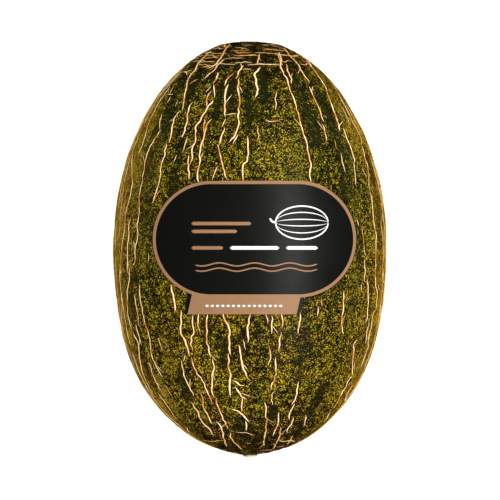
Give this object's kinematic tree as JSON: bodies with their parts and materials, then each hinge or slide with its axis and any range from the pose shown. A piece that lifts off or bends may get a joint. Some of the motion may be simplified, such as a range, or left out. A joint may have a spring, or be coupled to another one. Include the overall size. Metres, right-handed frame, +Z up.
{
  "type": "piel de sapo melon",
  "caption": "Whole oval melon lying on its side, dark green speckled rind with long corky cracks, and a plain printed paper label with a tab stuck on its upper side.",
  "frame": {"origin": "middle of the small flat spot that the melon rests on, straight under the middle of its length and of its width", "axes": "+Y along the melon's long axis towards its stem end, +Z up through the label, +X to the right seen from above with the stem end away from the viewer"},
  "size_m": [0.158, 0.24, 0.158],
  "materials": {
    "rind": "satin",
    "cork": "matte",
    "label_film": "satin",
    "label_print": "satin"
  },
  "bodies": {
    "root": {"melon": "rind", "label": "label_film"}
  },
  "joints": []
}
